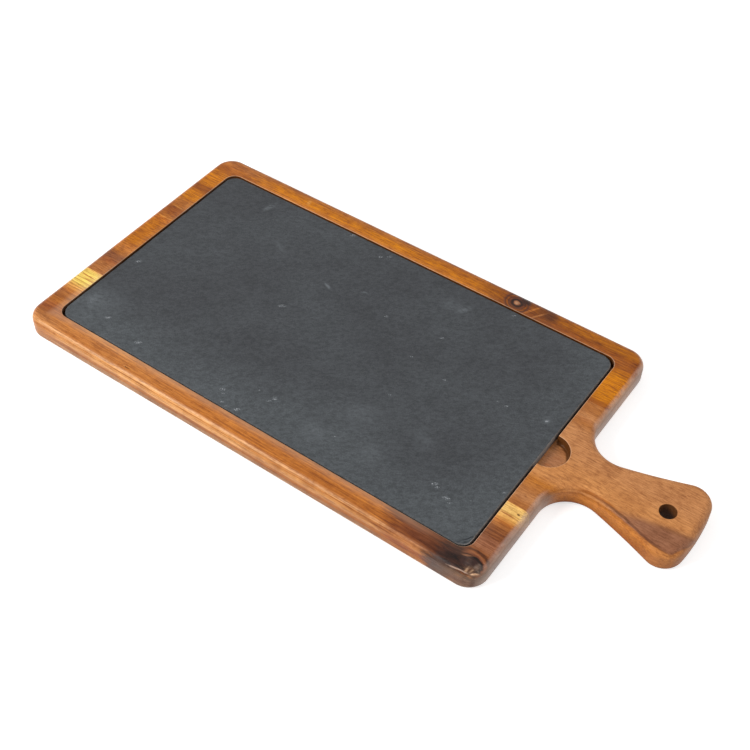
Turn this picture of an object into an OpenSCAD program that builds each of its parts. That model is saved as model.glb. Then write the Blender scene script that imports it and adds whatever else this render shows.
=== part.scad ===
// Slate serving board: a glued wooden paddle with a routed pocket that holds a loose slate plate.
// The board lies flat, its handle points along +X, and z = 0 is the surface that it stands on.

/* [Board] */
// Length of the board without its handle
board_l = 323; // [260:1:380]
// Width of the board
board_w = 192; // [170:1:230]
// Thickness of the board
board_t = 15; // [12:0.5:20]
// Radius of the board's four corners in plan
corner_r = 12.5; // [10:0.5:20]
// Radius of the rounding along the top edge
top_round_r = 4.5; // [2:0.25:5]
// Radius of the rounding along the bottom edge
foot_round_r = 3.5; // [1:0.25:4]
// Width of the middle stave, which runs on into the handle
centre_stave_w = 87.2; // [80:0.1:100]

/* [Handle] */
// Length of the handle beyond the board
handle_l = 77; // [70:1:100]
// Width of the handle at its neck
neck_w = 27.3; // [22:0.1:32]
// Radius of the hollow where the handle meets the board
neck_r = 19; // [12:0.5:22]
// Radius of the long hollow flank of the grip
grip_r = 420; // [300:10:600]
// Width of the handle at its end
tip_w = 53; // [48:0.5:60]
// Radius of the two corners at the handle's end
tip_corner_r = 12; // [10:0.5:16]
// Radius of the shallow arc across the handle's end
tip_arc_r = 136; // [90:1:200]

/* [Hanging hole] */
// Diameter of the hanging hole
hole_d = 9.5; // [6:0.5:12]
// Distance from the handle's end to the middle of the hole
hole_from_tip = 19; // [16:0.5:24]
// Width of the eased rim at both mouths of the hole
hole_rim = 0.4; // [0.2:0.1:1]

/* [Pocket] */
// Width of the rail between the pocket and the end away from the handle
tail_rail_w = 16; // [12:0.25:25]
// Width of the rail between the pocket and the handle
head_rail_w = 14.25; // [12:0.25:25]
// Width of the rail between the pocket and the near edge
near_rail_w = 13.2; // [11:0.1:20]
// Width of the rail between the pocket and the far edge
far_rail_w = 14.9; // [11:0.1:20]
// Depth of the routed pocket and of its finger notch
pocket_depth = 5.8; // [4:0.1:8]
// Radius that the cutter leaves in the pocket's corners
pocket_r = 7; // [4:0.5:10]
// Width of the eased rim round the pocket and the notch
pocket_rim = 0.4; // [0.2:0.1:1]
// Radius of the round finger notch at the handle side of the pocket
notch_r = 11.8; // [10:0.1:14]
// How far the middle of the notch lies outside the pocket
notch_out = 0.7; // [0:0.1:3]

/* [Slate] */
// Gap between the slate and the pocket's wall at the tail rail
tail_gap = 0.7; // [0.2:0.1:1.5]
// Gap between the slate and the pocket's wall at the head rail
head_gap = 1.5; // [0.2:0.1:2.5]
// Gap between the slate and the pocket's wall at the near rail
near_gap = 0.75; // [0.2:0.05:1.5]
// Gap between the slate and the pocket's wall at the far rail
far_gap = 0.3; // [0.2:0.05:1.5]
// How far the slate lies below the top of the board
slate_drop = 0.5; // [0:0.1:2]
// Radius of the slate's corners in plan
slate_r = 8; // [7:0.5:12]
// Width of the dressed edge round the slate's top face
slate_bevel = 0.8; // [0.3:0.1:1.5]
// Length, along the handle side, of the flake that has split off one corner
flake_l = 10; // [6:0.5:14]
// Width of that flake along the near side
flake_w = 6; // [4:0.5:9]
// Depth of that flake at the corner
flake_depth = 1.2; // [0.4:0.1:2]

/* [Hidden] */
$fn = 96;

total_l = board_l + handle_l;
tail_x = -total_l / 2;
head_x = tail_x + board_l;
tip_x = total_l / 2;
half_w = board_w / 2;
joint_y = centre_stave_w / 2;
overrun = board_t;

// Circles that the handle's outline is made of, for its far half
neck_at = [head_x + neck_r, neck_w / 2 + neck_r];
tip_arc_at = [tip_x - tip_arc_r, 0];
tip_corner_y = tip_w / 2 - tip_corner_r;
tip_corner_x = tip_arc_at.x + sqrt(pow(tip_arc_r - tip_corner_r, 2) - pow(tip_corner_y, 2));
tip_corner_at = [tip_corner_x, tip_corner_y];
grip_at = circle_meet(neck_at, grip_r - neck_r, tip_corner_at, grip_r + tip_corner_r);

// Angles at which one circle of the outline hands over to the next
neck_turn = 360 + bearing(neck_at - grip_at);
grip_turn = 360 + bearing(tip_corner_at - grip_at);
tip_turn = bearing(tip_corner_at - tip_arc_at);

// The outlines as arcs, anticlockwise: middle, radius, first angle, angle turned through
corner_in = half_w - corner_r;
board_arcs = [
    [[tail_x + corner_r, -corner_in], corner_r, 180, 90],
    [[head_x - corner_r, -corner_in], corner_r, 270, 90],
    [flip(neck_at), neck_r, 180, 180 - neck_turn],
    [flip(grip_at), grip_r, 360 - neck_turn, neck_turn - grip_turn],
    [flip(tip_corner_at), tip_corner_r, 180 - grip_turn, grip_turn - 180 - tip_turn],
    [tip_arc_at, tip_arc_r, -tip_turn, 2 * tip_turn],
    [tip_corner_at, tip_corner_r, tip_turn, grip_turn - 180 - tip_turn],
    [grip_at, grip_r, grip_turn, neck_turn - grip_turn],
    [neck_at, neck_r, neck_turn, 180 - neck_turn],
    [[head_x - corner_r, corner_in], corner_r, 0, 90],
    [[tail_x + corner_r, corner_in], corner_r, 90, 90],
];

// Places of the pocket, the notch and the slate
pocket_low = [tail_x + tail_rail_w, near_rail_w - half_w];
pocket_high = [head_x - head_rail_w, half_w - far_rail_w];
pocket_floor = board_t - pocket_depth;
notch_at = [pocket_high.x + notch_out, (pocket_low.y + pocket_high.y) / 2];
hole_at = [tip_x - hole_from_tip, 0];
slate_low = pocket_low + [tail_gap, near_gap];
slate_high = pocket_high - [head_gap, far_gap];
slate_t = pocket_depth - slate_drop;

// The broken edge of the flake, from the near side to the handle side, in shares of its sizes,
// and its two layers as shares of its reach and of its depth
flake_shares = [[1, 0], [0.7, 0.3], [0.43, 0.64], [0.16, 0.87], [0, 1]];
flake_layer_shares = [[1, 0.4], [0.78, 1]];

// How deep the worked edge strips reach into each plate, and where the plain core under them ends
edge_share = 0.7;
board_edge = min(corner_r, tip_corner_r) * edge_share;
board_core = (board_edge + max(top_round_r, foot_round_r)) / 2;
slate_edge = slate_r * edge_share;
slate_core = (slate_edge + slate_bevel) / 2;
least_run = board_t / 1000;
strip_lap = least_run / 10000;
core_step = 12;
round_steps = 8;

function flip(p) = [p.x, -p.y];
function bearing(v) = atan2(v.y, v.x);
function on_circle(at, r, a) = at + r * [cos(a), sin(a)];

// The point at distance r1 from p and r2 from q that lies to the left of the way from p to q
function circle_meet(p, r1, q, r2) =
    let (d = norm(q - p), u = (q - p) / d, along = (d * d + r1 * r1 - r2 * r2) / (2 * d))
    p + along * u + sqrt(r1 * r1 - along * along) * [-u.y, u.x];

function arc_start(a) = on_circle(a[0], a[1], a[2]);
function arc_end(a) = on_circle(a[0], a[1], a[2] + a[3]);

// The angle that carries a strip a hair past the end of its arc, so that it fuses with the arc
// that follows with no straight run between them
function lap_angle(r) = strip_lap / r * 180 / PI;

// Points of an outline of arcs, drawn in by some distance; an arc that turns back is a hollow
function drawn_in(arcs, inset) = [
    for (a = arcs)
        let (side = sign(a[3]), steps = ceil(abs(a[3]) / core_step))
        for (i = [0:steps]) on_circle(a[0], a[1] - side * inset, a[2] + a[3] * i / steps)
];

// Points of a quarter of a circle
function quarter_round(at, r, from_a) =
    [for (i = [0:round_steps]) on_circle(at, r, from_a + 90 * i / round_steps)];

// The four corner arcs of a rectangle between two opposite corners
function corner_arcs(low, high, r) = [
    [low + [r, r], r, 180, 90],
    [[high.x - r, low.y + r], r, 270, 90],
    [high - [r, r], r, 0, 90],
    [[low.x + r, high.y - r], r, 90, 90],
];

// A plate whose outline is a ring of arcs joined by straight runs; the child is the section
// of its edge, drawn with the outer face on x = 0 and the wood or stone on the side of -x
module edged_plate(arcs, core_inset, t) {
    linear_extrude(t) polygon(drawn_in(arcs, core_inset));
    for (i = [0:len(arcs) - 1]) {
        arc = arcs[i];
        from = arc_end(arc);
        to = arc_start(arcs[(i + 1) % len(arcs)]);
        run = norm(to - from);
        turn = arc[3] + (run > least_run ? 0 : sign(arc[3]) * lap_angle(arc[1]));
        translate(arc[0]) rotate(min(arc[2], arc[2] + turn)) rotate_extrude(angle = abs(turn))
            translate([arc[1], 0]) mirror([turn > 0 ? 0 : 1, 0]) children();
        if (run > least_run)
            translate(from) rotate([90, 0, bearing(to - from) - 90]) mirror([0, 0, 1])
                linear_extrude(run) children();
    }
}

// Section of the board's edge: square to the floor, rounded above and below
module board_edge_section() {
    polygon(concat(
        [[-board_edge, 0]],
        quarter_round([-foot_round_r, foot_round_r], foot_round_r, -90),
        quarter_round([-top_round_r, board_t - top_round_r], top_round_r, 0),
        [[-board_edge, board_t]]
    ));
}

module blank() {
    edged_plate(board_arcs, board_core, board_t) board_edge_section();
}

// Section of the pocket's cutter: straight wall, then the eased rim, carried on above the board
module pocket_section() {
    polygon([
        [-pocket_r, 0], [0, 0], [0, pocket_depth - pocket_rim],
        [2 * pocket_rim, pocket_depth + pocket_rim], [-pocket_r, pocket_depth + pocket_rim]
    ]);
}

// Everything that is routed out of the glued board from above
module routing() {
    translate([0, 0, pocket_floor]) {
        edged_plate(corner_arcs(pocket_low, pocket_high, pocket_r), pocket_r / 2, pocket_depth + pocket_rim)
            pocket_section();
        translate(notch_at) cylinder(h = pocket_depth + pocket_rim, r = notch_r);
        translate([notch_at.x, notch_at.y, pocket_depth - pocket_rim])
            cylinder(h = 2 * pocket_rim, r1 = notch_r, r2 = notch_r + 2 * pocket_rim);
    }
}

// One stave: the part of the board between two joint faces
module stave(from_y, to_y) {
    difference() {
        intersection() {
            blank();
            translate([tail_x - overrun, from_y, -overrun])
                cube([total_l + 2 * overrun, to_y - from_y, board_t + 2 * overrun]);
        }
        routing();
    }
}

module hanging_hole() {
    translate([hole_at.x, hole_at.y, -overrun]) cylinder(h = board_t + 2 * overrun, d = hole_d);
    translate([hole_at.x, hole_at.y, board_t - hole_rim])
        cylinder(h = 2 * hole_rim, r1 = hole_d / 2, r2 = hole_d / 2 + 2 * hole_rim);
    translate([hole_at.x, hole_at.y, -hole_rim])
        cylinder(h = 2 * hole_rim, r1 = hole_d / 2 + 2 * hole_rim, r2 = hole_d / 2);
}

module near_stave() {
    color([0.66, 0.42, 0.22]) stave(-half_w - overrun, -joint_y);
}

module centre_stave() {
    color([0.74, 0.50, 0.29]) difference() {
        stave(-joint_y, joint_y);
        hanging_hole();
    }
}

module far_stave() {
    color([0.76, 0.48, 0.16]) stave(joint_y, half_w + overrun);
}

// Section of the slate's edge: sawn square below, with the dressed bevel above
module slate_edge_section() {
    polygon([
        [-slate_edge, 0], [0, 0], [0, slate_t - slate_bevel],
        [-slate_bevel, slate_t], [-slate_edge, slate_t]
    ]);
}

// The split corner: each layer of the stone has broken a little further back than the one below
module flake() {
    for (layer = flake_layer_shares)
        translate([slate_high.x, slate_low.y, slate_t - flake_depth * layer[1]])
            linear_extrude(flake_depth + overrun) polygon(concat(
                [[overrun, -overrun], [-flake_w * layer[0], -overrun]],
                [for (f = flake_shares) layer[0] * [-f.x * flake_w, f.y * flake_l]],
                [[overrun, flake_l * layer[0]]]
            ));
}

module slate_plate() {
    color([0.30, 0.31, 0.32]) translate([0, 0, pocket_floor]) difference() {
        edged_plate(corner_arcs(slate_low, slate_high, slate_r), slate_core, slate_t) slate_edge_section();
        flake();
    }
}

near_stave();
centre_stave();
far_stave();
slate_plate();
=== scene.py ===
import math

import bmesh
import bpy
from mathutils import Matrix, Vector, noise
from mathutils.geometry import tessellate_polygon


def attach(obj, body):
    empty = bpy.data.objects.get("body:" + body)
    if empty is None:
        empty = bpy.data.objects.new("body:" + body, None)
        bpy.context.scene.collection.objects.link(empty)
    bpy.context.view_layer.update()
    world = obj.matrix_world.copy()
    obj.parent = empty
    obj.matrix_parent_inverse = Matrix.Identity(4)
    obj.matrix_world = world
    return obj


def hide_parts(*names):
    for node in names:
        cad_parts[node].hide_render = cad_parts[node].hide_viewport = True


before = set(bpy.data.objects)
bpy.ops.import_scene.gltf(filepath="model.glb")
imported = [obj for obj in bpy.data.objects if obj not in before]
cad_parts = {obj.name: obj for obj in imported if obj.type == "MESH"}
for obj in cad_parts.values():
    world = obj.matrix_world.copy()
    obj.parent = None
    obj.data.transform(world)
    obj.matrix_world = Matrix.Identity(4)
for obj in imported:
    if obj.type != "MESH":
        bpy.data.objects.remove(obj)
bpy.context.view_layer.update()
mm = 0.001
quarter = math.pi / 2
print("scene: frame loaded, nodes", sorted(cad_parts))

# outlines, in mm, as rings of arcs: (centre, radius, first angle, turn); a turn below 0 is a hollow


def onCircle(centre, radius, angle):
    return (centre[0] + radius * math.cos(angle), centre[1] + radius * math.sin(angle))


def flip(p):
    return (p[0], -p[1])


def circleMeet(p, r1, q, r2):
    # the meeting point of two circles that lies to the left of the way from p to q
    gap = math.dist(p, q)
    ux, uy = (q[0] - p[0]) / gap, (q[1] - p[1]) / gap
    along = (gap * gap + r1 * r1 - r2 * r2) / (2 * gap)
    off = math.sqrt(r1 * r1 - along * along)
    return (p[0] + along * ux - off * uy, p[1] + along * uy + off * ux)


def cornerArcs(low, high, r):
    return [
        ((low[0] + r, low[1] + r), r, 2 * quarter, quarter),
        ((high[0] - r, low[1] + r), r, 3 * quarter, quarter),
        ((high[0] - r, high[1] - r), r, 0, quarter),
        ((low[0] + r, high[1] - r), r, quarter, quarter),
    ]


def straight(start, end, pieces):
    # the points between two ends, without the ends
    return [(start[0] + (end[0] - start[0]) * k / pieces, start[1] + (end[1] - start[1]) * k / pieces)
            for k in range(1, pieces)]


def ringCounts(arcs, arcStep, runStep):
    # how many pieces each arc and each straight run is cut into, the same at every inset
    counts = []
    for i, (centre, radius, start, turn) in enumerate(arcs):
        after = arcs[(i + 1) % len(arcs)]
        run = math.dist(onCircle(centre, radius, start + turn), onCircle(*after[:3]))
        runPieces = round(run / runStep) if run > 0.05 else 0
        counts.append((max(6, round(abs(turn) * radius / arcStep)), runPieces))
    return counts


def ringPoints(arcs, counts, inset):
    # the outline drawn in by inset; a hollow's circle grows as a round corner's shrinks
    points = []
    for i, (centre, radius, start, turn) in enumerate(arcs):
        arcPieces, runPieces = counts[i]
        drawn = radius - math.copysign(inset, turn)
        arc = [onCircle(centre, drawn, start + turn * k / arcPieces) for k in range(arcPieces + 1)]
        after = arcs[(i + 1) % len(arcs)]
        nextPoint = onCircle(after[0], after[1] - math.copysign(inset, after[3]), after[2])
        points += arc + straight(arc[-1], nextPoint, runPieces) if runPieces else arc[:-1]
    return points


# small mesh helpers

def addRing(mesh, points, z):
    return [mesh.verts.new((x * mm, y * mm, z * mm)) for x, y in points]


def bridge(mesh, lower, upper, flipped=False):
    for i in range(len(lower)):
        j = (i + 1) % len(lower)
        quad = (lower[i], lower[j], upper[j], upper[i])
        mesh.faces.new(quad[::-1] if flipped else quad)


def capBetween(mesh, rings, facingUp):
    # a flat face between an outer ring and the rings of its openings
    flat = [v for ring in rings for v in ring]
    for tri in tessellate_polygon([[v.co for v in ring] for ring in rings]):
        corners = [flat[k] for k in tri]
        up = (corners[1].co - corners[0].co).cross(corners[2].co - corners[0].co).z > 0
        mesh.faces.new(corners if up == facingUp else corners[::-1])


def finishMesh(name, mesh, sharpAngle):
    data = bpy.data.meshes.new(name)
    mesh.to_mesh(data)
    mesh.free()
    data.shade_smooth()
    data.set_sharp_from_angle(angle=math.radians(sharpAngle))
    piece = bpy.data.objects.new(name, data)
    bpy.context.scene.collection.objects.link(piece)
    return piece


def bakeModifiers(piece):
    bpy.context.view_layer.update()
    graph = bpy.context.evaluated_depsgraph_get()
    ready = piece.evaluated_get(graph)
    plain = bpy.data.meshes.new_from_object(ready, preserve_all_data_layers=True, depsgraph=graph)
    piece.modifiers.clear()
    old, piece.data = piece.data, plain
    bpy.data.meshes.remove(old)
    plain.name = piece.name


class Nodes:
    # builds a node tree; a value goes on a socket as it is, and another node's output as a link
    def __init__(self, tree):
        self.nodes, self.links = tree.nodes, tree.links

    def put(self, value, socket):
        if isinstance(value, bpy.types.NodeSocket):
            self.links.new(value, socket)
        else:
            socket.default_value = value

    def add(self, kind, values, **settings):
        node = self.nodes.new(kind)
        for key, value in settings.items():
            setattr(node, key, value)
        for key, value in values.items():
            self.put(value, node.inputs[key])
        return node

    def calc(self, operation, *values, clamp=False):
        node = self.add("ShaderNodeMath", dict(enumerate(values)), operation=operation, use_clamp=clamp)
        return node.outputs[0]

    def vector(self, operation, *values):
        return self.add("ShaderNodeVectorMath", dict(enumerate(values)), operation=operation).outputs[0]


# the wooden board, first whole and then cut into its three staves

board = {
    "tail": -200, "head": 123, "tip": 200, "halfWidth": 96, "thickness": 15,
    "cornerRadius": 12.5, "topRound": 4.5, "footRound": 3.5, "jointY": 43.6,
    "neckWidth": 27.3, "neckRadius": 19, "gripRadius": 420,
    "tipWidth": 53, "tipCornerRadius": 12, "tipArcRadius": 136,
    "holeX": 181, "holeRadius": 4.75, "holeRim": 0.45,
    "pocketLow": (-184, -82.8), "pocketHigh": (108.75, 81.1), "pocketFloor": 9.2, "pocketCorner": 7,
    "notchCentre": (109.45, -0.85), "notchRadius": 11.8, "pocketRim": 0.45, "floorFillet": 0.5,
    "roundSteps": 10, "rimSteps": 4, "arcStep": 1.3, "runStep": 5, "holeSteps": 64,
    "pocketPieces": ((12, 58), (12, 14), (56, 14), (12, 58), (12, 30)),  # of each arc and the run after it
    "sanding": 0.12, "sandingScale": 0.03, "sharpAngle": 32,
}


def boardArcs():
    b = board
    neck = (b["head"] + b["neckRadius"], b["neckWidth"] / 2 + b["neckRadius"])
    tipArc = (b["tip"] - b["tipArcRadius"], 0)
    cornerY = b["tipWidth"] / 2 - b["tipCornerRadius"]
    cornerX = tipArc[0] + math.sqrt((b["tipArcRadius"] - b["tipCornerRadius"]) ** 2 - cornerY ** 2)
    tipCorner = (cornerX, cornerY)
    grip = circleMeet(neck, b["gripRadius"] - b["neckRadius"],
                      tipCorner, b["gripRadius"] + b["tipCornerRadius"])
    neckTurn = 4 * quarter + math.atan2(neck[1] - grip[1], neck[0] - grip[0])
    gripTurn = 4 * quarter + math.atan2(tipCorner[1] - grip[1], tipCorner[0] - grip[0])
    tipTurn = math.atan2(cornerY, cornerX - tipArc[0])
    corners = cornerArcs((b["tail"], -b["halfWidth"]), (b["head"], b["halfWidth"]), b["cornerRadius"])
    handle = [
        (flip(neck), b["neckRadius"], math.pi, math.pi - neckTurn),
        (flip(grip), b["gripRadius"], 2 * math.pi - neckTurn, neckTurn - gripTurn),
        (flip(tipCorner), b["tipCornerRadius"], math.pi - gripTurn, gripTurn - math.pi - tipTurn),
        (tipArc, b["tipArcRadius"], -tipTurn, 2 * tipTurn),
        (tipCorner, b["tipCornerRadius"], tipTurn, gripTurn - math.pi - tipTurn),
        (grip, b["gripRadius"], gripTurn, neckTurn - gripTurn),
        (neck, b["neckRadius"], neckTurn, math.pi - neckTurn),
    ]
    return corners[:2] + handle + corners[2:]


def pocketRing(outset):
    # the pocket with its finger notch, grown by outset
    low = [c - outset for c in board["pocketLow"]]
    high = [c + outset for c in board["pocketHigh"]]
    arcs = cornerArcs(low, high, board["pocketCorner"] + outset)
    notch, notchRadius = board["notchCentre"], board["notchRadius"] + outset
    half = math.acos((high[0] - notch[0]) / notchRadius)
    arcs.insert(2, (notch, notchRadius, -half, 2 * half))
    points = []
    for i, (arcPieces, runPieces) in enumerate(board["pocketPieces"]):
        centre, radius, start, turn = arcs[i]
        arc = [onCircle(centre, radius, start + turn * k / arcPieces) for k in range(arcPieces + 1)]
        points += arc + straight(arc[-1], onCircle(*arcs[(i + 1) % len(arcs)][:3]), runPieces)
    return points


def holeRing(outset):
    steps = board["holeSteps"]
    radius = board["holeRadius"] + outset
    return [onCircle((board["holeX"], 0), radius, 4 * quarter * k / steps) for k in range(steps)]


def sanded(points, seed):
    # hand sanding leaves the outline slightly uneven, always inwards
    out = []
    for i, (x, y) in enumerate(points):
        before, after = points[i - 1], points[(i + 1) % len(points)]
        tx, ty = after[0] - before[0], after[1] - before[1]
        place = Vector((x * board["sandingScale"], y * board["sandingScale"], seed))
        push = board["sanding"] * (0.5 + 0.5 * noise.noise(place)) / math.hypot(tx, ty)
        out.append((x - ty * push, y + tx * push))
    return out


def easedWall(low, high, lowRadius, highRadius, steps, lowSign, highSign):
    # (outset, height) up a wall with a quarter round at its foot and at its top
    angles = [quarter * k / steps for k in range(steps + 1)]
    foot = [(lowSign * lowRadius * (1 - math.sin(a)), low + lowRadius * (1 - math.cos(a))) for a in angles]
    top = [(highSign * highRadius * (1 - math.cos(a)), high - highRadius * (1 - math.sin(a)))
           for a in angles]
    return foot + top


def boardRings(mesh):
    # the outer side, the pocket's wall and the hanging hole's, each as rings from its foot up
    b = board
    arcs = boardArcs()
    counts = ringCounts(arcs, b["arcStep"], b["runStep"])
    side = easedWall(0, b["thickness"], b["footRound"], b["topRound"], b["roundSteps"], 1, 1)
    wall = easedWall(b["pocketFloor"], b["thickness"], b["floorFillet"], b["pocketRim"], b["rimSteps"], -1, 1)
    bore = easedWall(0, b["thickness"], b["holeRim"], b["holeRim"], b["rimSteps"], 1, 1)
    outer = [addRing(mesh, sanded(ringPoints(arcs, counts, inset), z * 0.02), z) for inset, z in side]
    pocket = [addRing(mesh, pocketRing(outset), z) for outset, z in wall]
    hole = [addRing(mesh, holeRing(outset), z) for outset, z in bore]
    for rings, flipped in ((outer, False), (pocket, True), (hole, True)):
        for lower, upper in zip(rings, rings[1:]):
            bridge(mesh, lower, upper, flipped)
    return outer, pocket, hole


def wholeBoard():
    mesh = bmesh.new()
    newLayer = mesh.verts.layers.float.new
    endGrain, cutWall, easedEdge = (newLayer(key) for key in ("endGrain", "cutWall", "easedEdge"))
    outer, pocket, hole = boardRings(mesh)
    capBetween(mesh, [outer[-1], pocket[-1], hole[-1]], True)
    capBetween(mesh, [outer[0], hole[0]], False)
    capBetween(mesh, [pocket[0]], True)
    mesh.normal_update()
    onCap = {v for rings in (outer, pocket, hole) for ring in (rings[0], rings[-1]) for v in ring}
    for v in mesh.verts:
        v[endGrain] = 0 if v in onCap else abs(v.normal.x)
    # the walls that the cutter left, which are painted darker, and the pocket's eased edge, where a highlight
    # is painted
    for rings, layer in ((pocket[1:7], cutWall), (pocket[7:9], easedEdge), (hole[2:8], cutWall)):
        for ring in rings:
            for v in ring:
                v[layer] = 1
    return mesh


def cutStave(whole, fromY, toY):
    # keeps what lies between two upright joint faces, and closes the cuts
    mesh = whole.copy()
    for y, keepsAbove in ((fromY, True), (toY, False)):
        if y is None:
            continue
        cut = bmesh.ops.bisect_plane(
            mesh, geom=mesh.verts[:] + mesh.edges[:] + mesh.faces[:], dist=1e-7,
            plane_co=(0, y * mm, 0), plane_no=(0, 1, 0), clear_inner=keepsAbove, clear_outer=not keepsAbove)
        edges = [e for e in cut["geom_cut"] if isinstance(e, bmesh.types.BMEdge)]
        bmesh.ops.contextual_create(mesh, geom=edges)
    bmesh.ops.recalc_face_normals(mesh, faces=mesh.faces[:])
    return mesh


whole = wholeBoard()
joint = board["jointY"]
staves = {}
for name, fromY, toY in (("near", None, -joint), ("centre", -joint, joint), ("far", joint, None)):
    staves[name] = finishMesh(name + "StaveWood", cutStave(whole, fromY, toY), board["sharpAngle"])
    weighted = staves[name].modifiers.new("flatNormals", "WEIGHTED_NORMAL")
    weighted.mode = "FACE_AREA"
    weighted.keep_sharp = True
    bakeModifiers(staves[name])
whole.free()
print("scene: staves cut,", {k: len(v.data.polygons) for k, v in staves.items()})

# the slate plate: a fine grid for its split face, with a dressed edge and a flaked corner

slate = {
    "low": (-183.3, -82.05), "high": (107.25, 80.8), "top": 14.5, "cornerRadius": 8, "bevel": 0.75,
    "gridStep": 1.35, "edgeStep": 0.45, "cornerRows": 8, "sharpAngle": 40,
    "fineEnds": (2.7, 11), "fineSides": (13, 2.7),  # how far in from each edge the grid is finer
    "flakeLength": 10, "flakeWidth": 6.6, "flakeDepth": 1.2, "flakeLayers": ((1.0, 0.4), (0.78, 0.6)),
    "chipReach": 0.45, "chipDepth": 1,  # chips bite into the edge, but only this far down
    # the edge, ring by ring: (inset from the outline, depth below the face, how much of the cleft it has)
    "edgeRings": ((0.42, 0.28, 0.6), (0.12, 0.75, 0.3), (0.0, 1.5, 0), (0.03, 3.4, 0), (0.0, 4.9, 0),
                  (0.25, 5.3, 0)),
}


def spacing(length, coarse, fine, startFine, endFine):
    # positions from 0 to length, close together near both ends
    marks = [k * fine for k in range(round(startFine / fine) + 1)]
    tail = [length - k * fine for k in range(round(endFine / fine) + 1)][::-1]
    middle = round((tail[0] - marks[-1]) / coarse)
    marks += [marks[-1] + (tail[0] - marks[-1]) * k / middle for k in range(1, middle)] + tail
    return marks


def rowEnds(y, low, high, r):
    # where the plate's outline crosses one row
    depth = max(0, r - (y - low[1]), r - (high[1] - y))
    cut = r - math.sqrt(max(0, r * r - depth * depth))
    return low[0] + cut, high[0] - cut


def flakeDrop(x, y):
    # how far the split corner lies below the plate's face, and how steep it is there
    u, v = (slate["high"][0] - x) / slate["flakeWidth"], (y - slate["low"][1]) / slate["flakeLength"]
    reach = u + v + 0.10 * noise.noise(Vector((x * 0.45, y * 0.45, 3.1)))
    drop, steep = 0, 0
    for layer, share in slate["flakeLayers"]:
        t = min(1, max(0, (layer - reach) / 0.09 + 0.5))
        drop += share * slate["flakeDepth"] * t * t * (3 - 2 * t)
        steep = max(steep, 4 * t * (1 - t))
    return drop, steep


def slateRows(low, high, r):
    # the grid's rows, close together where the corners turn
    s = slate
    sideY = [low[1] + c for c in spacing(high[1] - low[1], s["gridStep"], s["edgeStep"], *s["fineSides"])]
    bends = [r * (1 - math.cos(quarter * k / s["cornerRows"])) for k in range(s["cornerRows"])]
    rows = sorted([low[1] + c for c in bends] + [high[1] - c for c in bends]
                  + [y for y in sideY if low[1] + r + 0.2 < y < high[1] - r - 0.2]
                  + [low[1] + r, high[1] - r])
    return [y for k, y in enumerate(rows) if k == 0 or y - rows[k - 1] > 0.05]


def splitFace(mesh, layers, low, high, r):
    # the plate's face as a grid, with the steps of the flaked corner; gives back its rim
    s = slate
    length = high[0] - low[0]
    columns = [c / length for c in spacing(length, s["gridStep"], s["edgeStep"], *s["fineEnds"])]
    grid = []
    for y in slateRows(low, high, r):
        x0, x1 = rowEnds(y, low, high, r)
        line = []
        for u in columns:
            x = x0 + (x1 - x0) * u
            drop, steep = flakeDrop(x, y)
            v = mesh.verts.new((x * mm, y * mm, (s["top"] - drop) * mm))
            v[layers["cleftShare"]] = 1
            v[layers["flaked"]] = drop / s["flakeDepth"]
            v[layers["riser"]] = steep
            line.append(v)
        grid.append(line)
    for lower, upper in zip(grid, grid[1:]):
        for i in range(len(lower) - 1):
            mesh.faces.new((lower[i], lower[i + 1], upper[i + 1], upper[i]))
    nearRow, headColumn = grid[0][:-1], [line[-1] for line in grid[:-1]]
    farRow, tailColumn = grid[-1][:0:-1], [line[0] for line in grid[:0:-1]]
    return nearRow + headColumn + farRow + tailColumn


def chipping(x, y):
    # coarse bites out of the edge, with finer ones in them
    coarse = noise.noise(Vector((x * 0.35, y * 0.35, 7.7)))
    return max(0, coarse + 0.35 * noise.noise(Vector((x * 1.3, y * 1.3, 2.2))))


def edgeRing(mesh, layers, rim, low, high, r, inset, depth, cleftShare):
    s = slate
    ring = []
    for v in rim:
        x, y = v.co.x / mm, v.co.y / mm
        cornerX = min(max(x, low[0] + r), high[0] - r)
        cornerY = min(max(y, low[1] + r), high[1] - r)
        out = Vector((x - cornerX, y - cornerY)).normalized()
        chip = chipping(x, y) if depth < s["chipDepth"] else 0
        reach = max(0.1, s["bevel"] - inset - s["chipReach"] * chip)
        z = min(s["top"] - depth, v.co.z / mm - min(depth, 0.25))
        edge = mesh.verts.new(((x + out.x * reach) * mm, (y + out.y * reach) * mm, z * mm))
        edge[layers["cleftShare"]] = cleftShare
        edge[layers["dressed"]] = (0.1 + 0.9 * max(0, out.x)) * (1 if depth < 2 else 0.6)
        ring.append(edge)
    return ring


def slateMesh():
    low = [c + slate["bevel"] for c in slate["low"]]
    high = [c - slate["bevel"] for c in slate["high"]]
    r = slate["cornerRadius"] - slate["bevel"]
    mesh = bmesh.new()
    newLayer = mesh.verts.layers.float.new
    layers = {key: newLayer(key) for key in ("cleftShare", "dressed", "flaked", "riser")}
    rim = splitFace(mesh, layers, low, high, r)
    last = rim
    for inset, depth, cleftShare in slate["edgeRings"]:
        ring = edgeRing(mesh, layers, rim, low, high, r, inset, depth, cleftShare)
        bridge(mesh, ring, last)
        last = ring
    mesh.faces.new(last[::-1])
    return mesh


# Geometry Nodes for the split face: shallow plates of stone with soft steps, always cut downwards

cleft = {"Relief Depth": 0.16, "Step Height": 0.055, "Plate Length": 46.0, "Plate Width": 15.0,
         "Ripple Depth": 0.035, "Ripple Length": 5.5, "Grain Angle": 34.8, "Seed": 7}


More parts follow.
